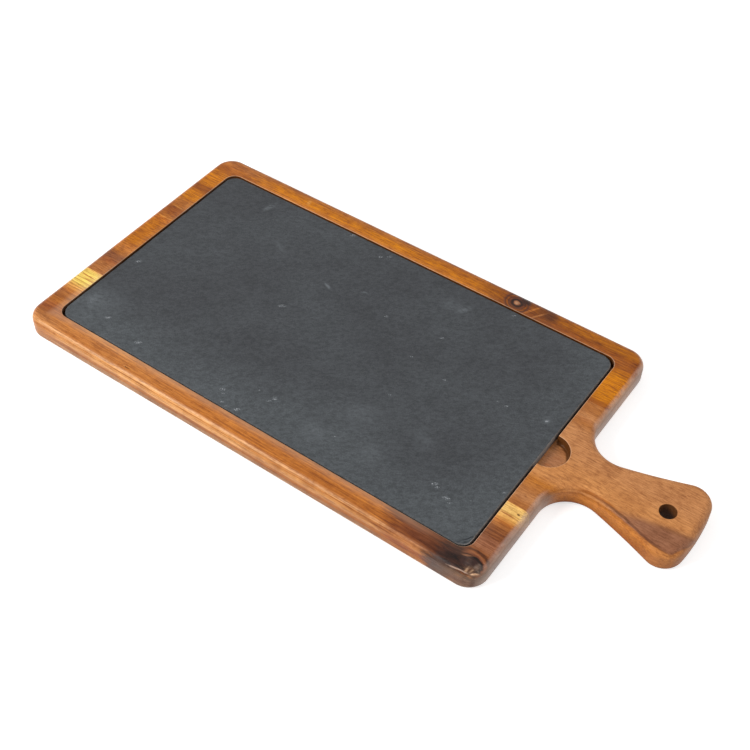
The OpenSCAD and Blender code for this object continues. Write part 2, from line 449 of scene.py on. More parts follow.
def cleftTree():
    tree = bpy.data.node_groups.new("cleftStone", "GeometryNodeTree")
    face = tree.interface
    face.new_socket("Geometry", in_out="INPUT", socket_type="NodeSocketGeometry")
    for name in cleft:
        kind = "NodeSocketInt" if name == "Seed" else "NodeSocketFloat"
        face.new_socket(name, in_out="INPUT", socket_type=kind)
    face.new_socket("Stone", in_out="INPUT", socket_type="NodeSocketMaterial")
    face.new_socket("Geometry", in_out="OUTPUT", socket_type="NodeSocketGeometry")
    t = Nodes(tree)
    given = t.add("NodeGroupInput", {}).outputs
    place = t.add("GeometryNodeInputPosition", {}).outputs[0]
    angle = t.calc("RADIANS", t.calc("MULTIPLY", given["Grain Angle"], -1.0))
    turned = t.add("ShaderNodeVectorRotate", {"Vector": place, "Angle": angle}, rotation_type="Z_AXIS")
    inMm = t.vector("MULTIPLY", turned.outputs[0], (1000.0, 1000.0, 1000.0))
    seed = t.calc("MULTIPLY", given["Seed"], 3.7)

    def stoneNoise(length, width, detail, roughness):
        scale = {0: t.calc("DIVIDE", 1.0, length), 1: t.calc("DIVIDE", 1.0, width)}
        sized = t.vector("MULTIPLY", inMm, t.add("ShaderNodeCombineXYZ", scale).outputs[0])
        values = {"Vector": sized, "W": seed, "Scale": 1.0, "Detail": detail, "Roughness": roughness}
        return t.add("ShaderNodeTexNoise", values, noise_dimensions="4D").outputs[0]

    plates = stoneNoise(given["Plate Length"], given["Plate Width"], 5.0, 0.5)
    height = t.calc("MULTIPLY", plates, given["Relief Depth"])
    stepped = t.calc("SNAP", height, given["Step Height"])
    soft = t.calc("ADD", t.calc("MULTIPLY", height, 0.45), t.calc("MULTIPLY", stepped, 0.55))
    ripples = stoneNoise(given["Ripple Length"], given["Ripple Length"], 3.0, 0.6)
    ripple = t.calc("MULTIPLY", ripples, given["Ripple Depth"])
    drop = t.calc("ADD", t.calc("SUBTRACT", soft, given["Relief Depth"]),
                  t.calc("SUBTRACT", ripple, given["Ripple Depth"]))
    share = t.add("GeometryNodeInputNamedAttribute", {"Name": "cleftShare"}, data_type="FLOAT").outputs[0]
    lowered = t.calc("MULTIPLY", t.calc("MULTIPLY", drop, share), mm)
    offset = t.add("ShaderNodeCombineXYZ", {2: lowered}).outputs[0]
    moved = t.add("GeometryNodeSetPosition", {"Geometry": given["Geometry"], "Offset": offset}).outputs[0]
    realized = t.add("GeometryNodeRealizeInstances", {"Geometry": moved}).outputs[0]
    painted = t.add("GeometryNodeSetMaterial", {"Geometry": realized, "Material": given["Stone"]}).outputs[0]
    t.add("NodeGroupOutput", {0: painted})
    return tree


def useTree(piece, tree, values):
    modifier = piece.modifiers.new(tree.name, "NODES")
    modifier.node_group = tree
    for item in tree.interface.items_tree:
        if item.in_out == "INPUT" and item.name in values:
            modifier[item.identifier] = values[item.name]


# materials

def paint(red, green, blue):
    # a colour as a paint chart gives it, 0 to 255, in the linear values that sockets hold
    channels = [c / 255 for c in (red, green, blue)]
    return tuple(c / 12.92 if c <= 0.04045 else ((c + 0.055) / 1.055) ** 2.4 for c in channels) + (1,)


class Finish(Nodes):
    def __init__(self, name, gloss):
        self.material = bpy.data.materials.new(name)
        self.material.use_nodes = True
        super().__init__(self.material.node_tree)
        self.shader = self.nodes["Principled BSDF"].inputs
        self.put(gloss, self.shader["Specular IOR Level"])
        place = self.add("ShaderNodeTexCoord", {}).outputs["Object"]
        self.place = self.vector("MULTIPLY", place, (1000, 1000, 1000))

    def product(self, *shares):
        total = shares[0]
        for share in shares[1:]:
            total = self.calc("MULTIPLY", total, share)
        return total

    def step(self, value, low, high, first=0.0, second=1.0):
        # first below low and second above high, eased between
        return self.add("ShaderNodeMapRange", {0: value, 1: low, 2: high, 3: first, 4: second},
                        interpolation_type="SMOOTHSTEP").outputs[0]

    def noises(self, place, table, seed=0.0):
        # one noise for each row of (scale, detail, roughness, seed)
        made = {}
        for key, (scale, detail, roughness, own) in table.items():
            lift = seed + own
            sized = self.vector("MULTIPLY_ADD", place, scale, (lift, lift * 1.7, lift * 2.3))
            values = {"Vector": sized, "Scale": 1.0, "Detail": detail, "Roughness": roughness}
            made[key] = self.add("ShaderNodeTexNoise", values).outputs[0]
        return made

    def split(self, vector):
        return self.add("ShaderNodeSeparateXYZ", {0: vector}).outputs[:3]

    def attribute(self, name):
        return self.add("ShaderNodeAttribute", {}, attribute_name=name).outputs["Fac"]

    def ellipse(self, spot):
        # the place along the spot's own axes, and how far out it is: 1 at the spot's rim
        turn = (0, 0, math.radians(spot["turn"]))
        place = self.add("ShaderNodeMapping", {0: self.place, 1: spot["at"], 2: turn, 3: spot["reach"]},
                         vector_type="TEXTURE").outputs[0]
        return place, self.add("ShaderNodeVectorMath", {0: place}, operation="LENGTH").outputs["Value"]

    def mix(self, share, first, second, blend="MIX"):
        node = self.add("ShaderNodeMix", {}, data_type="RGBA", blend_type=blend)
        self.put(share, node.inputs[0])
        self.put(first, node.inputs[6])
        self.put(second, node.inputs[7])
        return node.outputs[2]

    def ramp(self, value, stops):
        node = self.add("ShaderNodeValToRGB", {0: value})
        points = node.color_ramp.elements
        while len(points) < len(stops):
            points.new(0.5)
        for point, (position, colour) in zip(points, stops):
            point.position, point.color = position, colour
        return node.outputs[0]

    def shaded(self, share, colour, value, shades):
        # the colour darkened where the value is low
        stops = [(at, paint(*shade)) for at, shade in shades.items()]
        return self.mix(share, colour, self.ramp(value, stops), "MULTIPLY")

    def finished(self, colour, rough, relief, strength, depth):
        # the relief goes in as a bump, with its depth in metres
        bump = self.add("ShaderNodeBump", {"Height": relief, "Strength": strength, "Distance": depth})
        for key, value in (("Base Color", colour), ("Roughness", rough), ("Normal", bump.outputs[0])):
            self.put(value, self.shader[key])
        return self.material


def shifted(f, value, noise, amount):
    # a value pushed to and fro by a noise
    return f.calc("MULTIPLY_ADD", f.calc("SUBTRACT", noise, 0.5), amount, value)


# the wood: long grain along X; places and sizes are in mm, in the board's own frame

white = (255, 255, 255)
glossVeil = 0.018  # what the gloss adds to a base colour
grainLift = 1.18  # what the dark grain takes away from it
tones = {
    "char": (38, 28, 26), "soot": (64, 50, 48), "umber": (96, 60, 42), "cutDark": (80, 52, 12),
    "ash": (130, 107, 91), "mist": (156, 139, 130), "dove": (206, 182, 168), "storm": (100, 88, 86),
    "cocoa": (138, 80, 28), "maroon": (124, 76, 54), "walnut": (148, 94, 60), "liver": (162, 110, 80),
    "plum": (148, 104, 84), "sienna": (164, 96, 30), "rust": (168, 100, 44), "russet": (172, 104, 58),
    "drab": (188, 148, 112), "chestnut": (182, 120, 68), "copper": (197, 122, 36),
    "ochre": (190, 122, 56), "clay": (174, 120, 90), "rose": (188, 134, 100), "fawn": (200, 142, 94),
    "tan": (210, 148, 92), "honey": (208, 136, 68), "orange": (204, 124, 48), "caramel": (182, 113, 28),
    "amber": (211, 135, 18), "gold": (220, 140, 22), "wheat": (226, 168, 104), "sand": (240, 184, 122),
    "straw": (250, 192, 108), "cream": (255, 228, 122), "peach": (255, 214, 132), "bone": (222, 190, 160),
    "shell": (250, 214, 180),
}


def mark(at, reach, tone, share, soft, turn=0):
    # a stain: an ellipsoid of another tone, and how soft its edge is
    return {"at": at, "reach": reach, "turn": turn, "tone": tone, "share": share, "soft": soft}


def knot(at, reach, turn, fade, swerve, rings, shown=None):
    # year rings round a branch, where they fade out, and how far the grain swerves round them
    return {"at": at, "reach": reach, "turn": turn, "fade": fade, "swerve": swerve, "rings": rings,
            "shown": shown}


# "tailEnd", "middle" and "headEnd" are tones by their place across the board, counted on down its side by
# "lean"; "blend" is where along the board each gives way to the next, "wander" is how far the grain strays,
# and "streaks", "lines", "dashes" and "rim" are how much of each shows
nearLook = {
    "seed": 1.0, "wander": 2.0, "lean": 1.0, "streaks": 0.7, "lines": 0.6, "dashes": 1.0,
    "dashScale": 0.045, "rim": 0.13,
    "tailEnd": {-111: "drab", -106: "drab", -103: "chestnut", -100.5: "wheat", -98: "tan", -95.5: "sand",
                -93: "tan", -88: "chestnut", -84: "russet", -80: "russet", -76: "ochre", -68: "chestnut",
                -65: "honey", -61: "straw", -57: "cream", -46: "cream", -43.6: "straw"},
    "middle": {-111: "drab", -106.2: "drab", -104.6: "ochre", -103.2: "ochre", -102.6: "tan",
               -101.8: "sand", -100.2: "sand", -99.2: "wheat", -98.3: "sand", -97.7: "honey",
               -97.1: "sand", -95.4: "sand", -94.2: "tan", -93: "honey", -90: "honey", -86: "honey",
               -84: "chestnut", -82: "chestnut", -70: "chestnut", -54: "honey", -43.6: "straw"},
    "headEnd": {-111: "drab", -106.5: "chestnut", -103.5: "russet", -101.5: "russet", -100: "fawn",
                -95.4: "fawn", -94: "walnut", -92.5: "maroon", -85: "maroon", -82: "walnut", -79: "liver",
                -75: "clay", -71: "clay", -68.5: "walnut", -65: "walnut", -60: "chestnut", -57: "honey",
                -54.5: "straw", -50: "peach", -46: "peach", -43.6: "straw"},
    "blend": (-186, -158, 56, 70),
    "marks": [
        mark((-192, -97, 7), (26, 8, 8), "honey", 0.4, 0.7),
        mark((-132, -88, 13), (50, 9, 12), "sand", 0.2, 0.8),
        mark((30, -92, 12), (70, 10, 8), "rust", 0.4, 0.8),
        mark((101.5, -89.5, 13), (18, 9, 8), "umber", 0.62, 0.5),
        mark((107, -89, 13), (13, 8.6, 8), "soot", 0.85, 0.35),
        knot((113.5, -88.8, 15), (7.5, 5.4, 5), 0, fade=(1.85, 2.1), swerve=0.6,
             shown=(105.5, 111, -93, -89.5),
             rings={0: "soot", 0.7: "soot", 0.82: "char", 0.98: "char", 1.08: "maroon", 1.2: "liver",
                    1.38: "walnut", 1.5: "umber", 1.66: "umber", 1.82: "walnut", 2.1: "walnut"}),
        mark((110.7, -84.8, 15), (3.6, 0.6, 3), "rose", 0.5, 0.8, 24),
        mark((113, -88.6, 14.5), (2.2, 2.6, 3), "storm", 0.5, 0.8, 20),
        mark((104.6, -89.6, 14), (5.5, 2.6, 3), "char", 0.8, 0.7, 16),
        mark((110.6, -93.0, 14), (4.5, 0.9, 2), "char", 0.8, 0.7, 8),
        mark((103.3, -94.2, 13.9), (4.6, 1.2, 1.8), "char", 0.95, 0.5, -4),
        mark((104, -95, 13.2), (14, 1.8, 2.4), "soot", 0.8, 0.6),
        mark((99, -98, 9), (10, 5, 8), "storm", 0.95, 0.6),
        mark((99, -98, 3), (9, 4.5, 5), "storm", 0.7, 0.7),
        mark((116, -93, 5), (18, 12, 8), "ash", 0.85, 0.5),
        mark((110.5, -95.5, 8), (4.5, 3, 3.5), "maroon", 0.5, 0.8),
        mark((119.5, -93.5, 6), (1.6, 2.8, 7), "umber", 0.7, 0.8, 40),
        mark((118.4, -88.2, 14.6), (1.7, 2.0, 2.4), "mist", 0.75, 0.8),
        mark((116, -92, 14), (2.8, 2.6, 3), "ash", 0.85, 0.7, -10),
        mark((114.6, -92.6, 14.3), (0.7, 1.8, 2), "bone", 0.75, 0.9, -6),
        mark((115.9, -91.4, 14.6), (0.4, 1.8, 2), "umber", 0.7, 0.7, -20),
        mark((117, -91.4, 14.4), (0.4, 1.5, 2), "bone", 0.5, 0.7, -24),
        mark((113, -96.5, 11), (14, 3, 3.5), "ash", 0.6, 0.6),
        # painted highlight: pale lines along the rounded top edge at the near head corner
        mark((109.8, -94.35, 13.8), (8, 0.42, 0.9), "dove", 0.8, 0.7, 7),
        mark((119.0, -91.4, 13.0), (2.6, 0.32, 1.6), "shell", 1.0, 0.6, 41),
        mark((124, -48.5, 9), (3, 7, 6), "tan", 0.5, 0.6),
        mark((115, -51.4, 15), (6.5, 0.5, 3), "russet", 0.85, 0.5, -1),
        mark((118.4, -48.2, 15), (0.9, 0.6, 3), "umber", 0.9, 0.5),
        mark((-191, -49.2, 15), (6, 0.5, 4), "honey", 0.9, 0.6),
        mark((-188, -51.6, 15), (6, 0.4, 4), "honey", 0.7, 0.6, 1),
    ],
}
centreLook = {
    "seed": 5.0, "wander": 2.4, "lean": 0.35, "streaks": 0.35, "lines": 0.25, "dashes": 0.65,
    "dashScale": 0.19, "rim": 0.03,
    "tailEnd": {-43.6: "chestnut", -35: "chestnut", -31: "russet", -28: "walnut", -24: "walnut",
                -20: "ochre", -16: "honey", -10: "copper", -7.5: "amber", -4: "copper", 14: "copper",
                19: "orange", 22: "ochre", 25: "rust", 31: "rust", 36: "ochre", 40: "ochre",
                43.6: "copper"},
    "middle": {-43.6: "chestnut", -20: "tan", 0: "honey", 25: "chestnut", 43.6: "chestnut"},
    "headEnd": {-43.6: "chestnut", -41: "chestnut", -37: "fawn", -30: "chestnut", -23: "ochre",
                -18: "tan", -8: "tan", 5: "fawn", 16: "fawn", 21: "fawn", 27: "chestnut", 31: "fawn",
                37: "chestnut", 43.6: "chestnut"},
    "blend": (-184, -150, 60, 100),
    "marks": [
        mark((115, 30, 15), (7, 2.2, 5), "russet", 0.35, 0.7),
        mark((201, 2, 6), (6, 22, 9), "walnut", 0.5, 0.7),
        mark((113, -3, 9), (9, 10, 3), "rose", 0.7, 0.7),
        mark((112, -6, 9), (2.2, 1.1, 3), "russet", 0.5, 0.8, 20),
        mark((114, 1, 9), (2.6, 0.9, 3), "russet", 0.35, 0.8, 10),
        mark((-190, 20.5, 15), (7, 0.5, 5), "straw", 0.3, 0.7, 2),
        mark((-189, 33, 15), (7, 0.5, 5), "straw", 0.3, 0.7, -2),
    ],
}
farLook = {
    "seed": 9.0, "wander": 2.0, "lean": 0.3, "streaks": 0.45, "lines": 0.45, "dashes": 1.0,
    "dashScale": 0.09, "rim": 0.01,
    "tailEnd": {43.6: "amber", 49: "amber", 52.5: "copper", 55.5: "sienna", 60: "sienna", 63: "amber",
                72: "gold", 75: "amber", 78: "copper", 80.5: "sienna", 84: "rust", 88: "chestnut",
                96: "chestnut"},
    "middle": {43.6: "amber", 80: "honey", 84.5: "gold", 88: "amber", 90.5: "ochre", 93: "ochre",
               96: "chestnut"},
    "headEnd": {43.6: "rust", 45.5: "rust", 48: "copper", 50.5: "amber", 54: "amber", 58: "gold",
                66: "gold", 70: "amber", 73: "copper", 77: "rust", 83: "rust", 85: "sienna",
                87.5: "caramel", 91: "caramel", 96: "ochre"},
    "blend": (-182, -150, -10, 40),
    "marks": [
        mark((-188, 68, 14), (10, 9, 6), "gold", 0.4, 0.8),
        mark((-186, 86, 14), (12, 9, 6), "orange", 0.4, 0.8),
        mark((-8, 88, 14), (26, 10, 8), "copper", 0.6, 0.8),
        mark((38, 87.5, 13), (29, 12, 9), "cocoa", 0.7, 0.6),
        mark((54, 88, 13), (9, 7, 9), "umber", 0.4, 0.6),
        knot((35.9, 87.3, 8), (4.2, 3.5, 60), -20, fade=(1.9, 2.4), swerve=1.2,
             rings={0: "bone", 0.42: "rose", 0.6: "soot", 0.84: "char", 1.0: "umber", 1.15: "maroon",
                    1.35: "umber", 1.6: "sienna", 1.8: "umber", 2.1: "maroon", 2.4: "cocoa"}),
        mark((39.6, 91.3, 13), (5.2, 3.6, 7), "soot", 0.85, 0.5, -10),
        mark((46.5, 87, 15), (0.9, 7, 8), "honey", 0.65, 0.6, -30),
        mark((52.5, 86, 15), (0.7, 7, 8), "tan", 0.6, 0.5, -35),
        mark((58.5, 89, 14), (5.5, 4.5, 10), "umber", 0.7, 0.7, -20),
        mark((88, 86, 15), (26, 0.9, 5), "cocoa", 0.6, 0.7, 1),
        mark((-123.5, 87, 15), (1.6, 2.4, 5), "straw", 0.45, 0.7, 20),
    ],
}
# each noise is (scale along, across and up, detail, roughness, seed), each step (from, to, before, after)
evenNoises = {
    "ragged": ((0.14, 0.5, 0.5), 4, 0.6, 7), "wander": ((0.007, 0.03, 0.03), 3, 0.5, 0),
    "blur": ((0.03, 0.35, 0.35), 3, 0.6, 3), "figure": ((0.12, 0.08, 0.08), 4, 0.6, 29),
    "speck": ((0.4, 1.7, 1.7), 3, 0.6, 31), "sheen": ((0.1, 0.16, 0.3), 3, 0.6, 33),
}
grainNoises = {
    "streak": ((0.02, 0.7, 0.7), 5, 0.65, 11), "line": ((0.018, 1.6, 1.6), 3, 0.6, 13),
    "dash": ((1.0, 1.05, 1.05), 4, 0.74, 15), "fine": ((0.07, 3.2, 3.2), 4, 0.6, 17),
    "fleck": ((0.30, 1.1, 1.1), 3, 0.65, 19), "pores": ((0.35, 4.2, 4.2), 2, 0.5, 23),
}
grainShades = {
    "streak": {0.34: (206, 186, 168), 0.5: (250, 245, 240), 0.66: white},
    "dash": {0.35: (180, 160, 142), 0.5: (236, 228, 220), 0.63: white},
    "fine": {0.34: (206, 192, 180), 0.58: white},
    "figure": {0.36: (218, 206, 196), 0.56: white},
}
oiledWood = {
    "gloss": 0.2, "blurReach": 60.0, "fineShare": 0.5, "figureShare": 0.55,
    "calmHead": (98, 112, 1.0, 0.55), "dashRun": (-186, -160),
    "lineEdge": (0.55, 0.68), "lineShade": (204, 176, 158),
    "fleckEdge": (0.55, 0.70, 0.0, 0.6), "fleckShade": (196, 172, 158),
    "poreEdge": (0.58, 0.70), "poreShare": 0.3,
    "pocketHighlight": (1.0, 6.0), "highlightRun": (70, 98, 1.0, 0.15), "edgeHighlight": 0.25,
    "wallDarkening": 0.9, "ringEdge": (0.8, 0.91), "ringEnd": (1.0, 1.1, 0.85, 0.0),
    "ringHeight": (9.5, 10.5, 1.0, 0.0), "ringRun": (108.2, 109.4), "ringFoot": (6, 8),
    "rough": (0.14, 0.27), "handleRough": (124, 145, 0.0, 0.22), "poreRough": 0.2,
    "fineRelief": 0.35, "bump": (0.35, 0.00012),
}
endWood = {
    "soak": (0.66, 0.98, 0.0, 0.74), "soakRise": (4, 10), "speck": (0.42, 0.62, 0.0, 0.35),
    "pastHead": (123.05, 127), "handleSoak": -0.6,
    "sheen": (0.22, 0.75, 0.0, 0.42), "sheenRise": (11.0, 12.8), "sheenFromHandle": (24, 32),
    "sheenFromCorner": (-90, -80, 0.2, 1.0), "sheenOnHandle": 0.35, "sheenPatches": (0.34, 0.6, 0.5, 1.0),
}
handleFigure = {
    "slant": (-0.52, 0.745), "neck": (143.8, -35.3), "neckReach": 19.0, "drift": (146, 194, 0.0, 8.1),
    "tip": 195.6, "tipRound": (-24, -6, 0.0, 9.0), "tipBlend": 3.0, "plumLine": (146, 200, 15.5, 7.6),
    "plumEdge": (-4.0, 2.4, 1.0, 0.0), "plumRun": (144, 172, 0.0, 0.85),
    "veinLow": (-3.4, -1.8), "veinHigh": (-1.6, 0.2, 1.0, 0.0), "veinRun": (166, 190, 0.0, 0.3),
    "crestLow": (1.0, 2.0), "crestHigh": (3.0, 4.6, 1.0, 0.0),
    "crestStart": (132, 142), "crestEnd": (150, 166, 0.85, 0.0),
    "sapwood": {-11: "rust", -7: "rust", -4.5: "ochre", -2.5: "honey", -1: "ochre", 0.4: "rust"},
    "sapStart": (126, 138), "sapEdge": (-0.6, 0.7, 0.95, 0.0), "sapTip": (178, 194, 0.0, 0.45),
    "sapFoot": (0.5, 4.5, 0.7, 0.0), "linePlace": (164, 180, 1.8, 0.4), "lineEdge": (0.4, 1.2, 1.0, 0.0),
    "lineStart": (140, 160, 0.1, 0.65), "lineEnd": (184, 192, 1.0, 0.3),
}


def tone(name):
    # what a tone takes of the base colour: less the gloss that lies over it, more what the grain takes away
    return tuple(max(0.002, grainLift * c - glossVeil) for c in paint(*tones[name])[:3]) + (1,)


def bands(f, value, stops):
    # tones at their places along a value, as one ramp
    low, high = min(stops), max(stops)
    share = f.add("ShaderNodeMapRange", {0: value, 1: low, 2: high, 3: 0.0, 4: 1.0}).outputs[0]
    return f.ramp(share, [((at - low) / (high - low), tone(name)) for at, name in stops.items()])


def stain(f, colour, spot, ragged):
    reach = shifted(f, f.ellipse(spot)[1], ragged, 1.4)
    share = f.step(reach, 1 - spot["soft"], 1 + spot["soft"] / 2, spot["share"], 0.0)
    return f.mix(share, colour, tone(spot["tone"]))


def knotRings(f, colour, branch, ragged):
    reach = shifted(f, f.ellipse(branch)[1], ragged, 0.45)
    share = f.step(reach, *branch["fade"], 0.95, 0.0)
    if branch["shown"]:
        # the dark smear and the rounded edge hide its other parts
        x, y = f.split(f.place)[:2]
        left, right, low, high = branch["shown"]
        share = f.product(share, f.step(x, left, right), f.step(y, low, high))
    return f.mix(share, colour, bands(f, reach, branch["rings"]))


def acrossGrain(f, look, y, z, wander):
    # the place across the grain, which parts round a knot as water does round a stone
    across = f.calc("MULTIPLY_ADD", f.calc("SUBTRACT", z, board["thickness"]), look["lean"], y)
    across = shifted(f, across, wander, 2 * look["wander"])
    for branch in (spot for spot in look["marks"] if "rings" in spot):
        place, reach = f.ellipse(branch)
        apart = f.calc("DIVIDE", f.split(place)[1], f.calc("MULTIPLY_ADD", reach, reach, 0.35))
        across = f.calc("MULTIPLY_ADD", apart, -branch["swerve"] * branch["reach"][1], across)
    return across


def staveTones(f, look, x, across, blur):
    blurX = shifted(f, x, blur, oiledWood["blurReach"])
    tailEnd, middle, headEnd = (bands(f, across, look[key]) for key in ("tailEnd", "middle", "headEnd"))
    colour = f.mix(f.step(blurX, *look["blend"][:2]), tailEnd, middle)
    return f.mix(f.step(blurX, *look["blend"][2:]), colour, headEnd)


def handleStreaks(f, colour, x, y, z, ragged):
    # pale sapwood along the handle's near side, and the plum heartwood that opens towards its tip
    h = handleFigure

    def eased(value, key):
        return f.step(value, *h[key])

    down = f.calc("SUBTRACT", z, board["thickness"])
    leanX = f.calc("MULTIPLY_ADD", down, h["slant"][0], x)
    leanY = shifted(f, f.calc("MULTIPLY_ADD", down, h["slant"][1], y), ragged, 1.2)
    besideNeck = f.calc("MINIMUM", f.calc("SUBTRACT", leanX, h["neck"][0]), 0.0)
    fromNeck = f.calc("ADD", leanY, -h["neck"][1])
    offNeck = f.add("ShaderNodeCombineXYZ", {0: besideNeck, 1: fromNeck}).outputs[0]
    edge = f.add("ShaderNodeVectorMath", {0: offNeck}, operation="LENGTH").outputs["Value"]
    edge = f.calc("ADD", f.calc("SUBTRACT", edge, h["neckReach"]), eased(leanX, "drift"))
    tipEdge = f.calc("ADD", f.calc("SUBTRACT", h["tip"], leanX), eased(leanY, "tipRound"))
    edge = f.calc("SMOOTH_MIN", edge, tipEdge, h["tipBlend"])
    upper = f.calc("ADD", leanY, eased(leanX, "plumLine"))
    plum = f.product(eased(upper, "plumEdge"), eased(leanX, "plumRun"))
    colour = f.mix(plum, colour, tone("plum"))
    vein = f.product(eased(upper, "veinLow"), eased(upper, "veinHigh"), eased(leanX, "veinRun"))
    colour = f.mix(vein, colour, tone("umber"))
    crest = f.product(eased(edge, "crestLow"), eased(edge, "crestHigh"),
                      eased(leanX, "crestStart"), eased(leanX, "crestEnd"))
    colour = f.mix(crest, colour, tone("sienna"))
    sapwood = f.mix(eased(leanX, "sapTip"), bands(f, edge, h["sapwood"]), tone("fawn"))
    onSap = f.product(eased(leanX, "sapStart"), eased(edge, "sapEdge"))
    colour = f.mix(onSap, colour, sapwood)
    colour = f.mix(f.product(onSap, eased(z, "sapFoot")), colour, tone("umber"))
    fromLine = f.calc("ABSOLUTE", f.calc("SUBTRACT", edge, eased(leanX, "linePlace")))
    line = f.product(eased(fromLine, "lineEdge"), eased(leanX, "lineStart"), eased(leanX, "lineEnd"))
    return f.mix(line, colour, tone("umber"))


def grained(f, look, colour, x, grain, poreMask):
    # streaks, dashes, fine grain and broad figure darken the tones, and lines, flecks and pores cross them
    w = oiledWood
    calm = f.step(x, *w["calmHead"])
    shares = {"streak": f.product(calm, look["streaks"]),
              "dash": f.step(x, *w["dashRun"], 1.0, look["dashes"]),
              "fine": w["fineShare"], "figure": w["figureShare"]}
    for key, share in shares.items():
        colour = f.shaded(share, colour, grain[key], grainShades[key])
    lines = f.product(calm, f.step(grain["line"], *w["lineEdge"], 0.0, look["lines"]))
    colour = f.mix(lines, colour, paint(*w["lineShade"]), "MULTIPLY")
    colour = f.mix(f.step(grain["fleck"], *w["fleckEdge"]), colour, paint(*w["fleckShade"]), "MULTIPLY")
    return f.mix(f.product(poreMask, w["poreShare"]), colour, tone("umber"))


def soakAndSheen(f, colour, x, y, z, grain):
    # end grain soaks up oil and dirt, and a pale painted highlight lies along the rounded top of the ends
    e = endWood
    endGrain = f.attribute("endGrain")
    onHandle = f.step(x, *e["pastHead"])
    soaked = f.mix(f.step(z, *e["soakRise"]), tone("mist"), tone("ash"))
    soaked = f.mix(f.step(grain["speck"], *e["speck"]), soaked, tone("umber"))
    share = f.product(f.step(endGrain, *e["soak"]), f.calc("MULTIPLY_ADD", onHandle, e["handleSoak"], 1.0))
    colour = f.mix(share, colour, soaked)
    sheen = f.product(f.step(endGrain, *e["sheen"]), f.step(z, *e["sheenRise"]),
                     f.step(f.calc("ABSOLUTE", y), *e["sheenFromHandle"]), f.step(y, *e["sheenFromCorner"]),
                     f.step(x, *e["pastHead"], 1.0, e["sheenOnHandle"]),
                     f.step(grain["sheen"], *e["sheenPatches"]))
    return f.mix(sheen, colour, tone("dove"))


def rimHighlight(f, look, colour, x, y, figure):
    # a painted highlight: the wood is painted paler round the pocket and on its eased edges
    beyond = []
    for along, low, high in zip((x, y), board["pocketLow"], board["pocketHigh"]):
        fromMiddle = f.calc("ABSOLUTE", f.calc("SUBTRACT", along, (low + high) / 2))
        beyond.append(f.calc("SUBTRACT", fromMiddle, (high - low) / 2))
    fromPocket = shifted(f, f.calc("MAXIMUM", *beyond), figure, 3.0)
    pale = f.product(f.step(fromPocket, *oiledWood["pocketHighlight"], look["rim"], 0.0),
                     f.step(x, *oiledWood["highlightRun"]))
    pale = f.calc("MAXIMUM", pale, f.product(f.attribute("easedEdge"), oiledWood["edgeHighlight"]))
    return f.mix(pale, colour, tone("shell"))


def darkenedCuts(f, colour, x, z, ragged):
    # the routed walls are painted darker, and a painted shade lies on the floor of the notch along its wall
    w = oiledWood
    radius = board["notchRadius"]
    notch = {"at": (*board["notchCentre"], 0), "reach": (radius, radius, 1000), "turn": 0}
    fromNotch = f.ellipse(notch)[1]
    # painted shade: a dark band on the notch floor at the foot of its wall
    ring = f.product(f.step(shifted(f, fromNotch, ragged, 0.12), *w["ringEdge"]), f.step(z, *w["ringHeight"]),
                     f.step(fromNotch, *w["ringEnd"]), f.step(z, *w["ringFoot"]), f.step(x, *w["ringRun"]))
    wall = f.product(f.attribute("cutWall"), w["wallDarkening"])
    return f.mix(f.calc("MAXIMUM", wall, ring), colour, tone("cutDark"))


def woodFinish(name, look):
    w = oiledWood
    f = Finish(name, w["gloss"])
    x, y, z = f.split(f.place)
    grain = f.noises(f.place, evenNoises, look["seed"])
    across = acrossGrain(f, look, y, z, grain["wander"])
    colour = staveTones(f, look, x, across, grain["blur"])
    if look is centreLook:
        colour = handleStreaks(f, colour, x, y, z, grain["ragged"])
    for spot in look["marks"]:
        colour = (knotRings if "rings" in spot else stain)(f, colour, spot, grain["ragged"])
    (scaleX, scaleY, scaleZ), *rest = grainNoises["dash"]
    ownNoises = {**grainNoises, "dash": ((scaleX * look["dashScale"], scaleY, scaleZ), *rest)}
    alongGrain = f.add("ShaderNodeCombineXYZ", {0: x, 1: across, 2: z}).outputs[0]
    grain.update(f.noises(alongGrain, ownNoises, look["seed"]))
    poreMask = f.step(grain["pores"], *w["poreEdge"])
    colour = grained(f, look, colour, x, grain, poreMask)
    colour = soakAndSheen(f, colour, x, y, z, grain)
    colour = rimHighlight(f, look, colour, x, y, grain["figure"])
    colour = darkenedCuts(f, colour, x, z, grain["ragged"])
    rough = f.calc("MULTIPLY_ADD", grain["fine"], *w["rough"])
    rough = f.calc("ADD", rough, f.step(x, *w["handleRough"]))
    rough = f.calc("MULTIPLY_ADD", poreMask, w["poreRough"], rough)
    relief = f.calc("SUBTRACT", f.calc("MULTIPLY", grain["fine"], w["fineRelief"]), poreMask)
    return f.finished(colour, rough, relief, *w["bump"])


# the stone: streaks along its grain, clouds, rubbed smudges and small pale chips

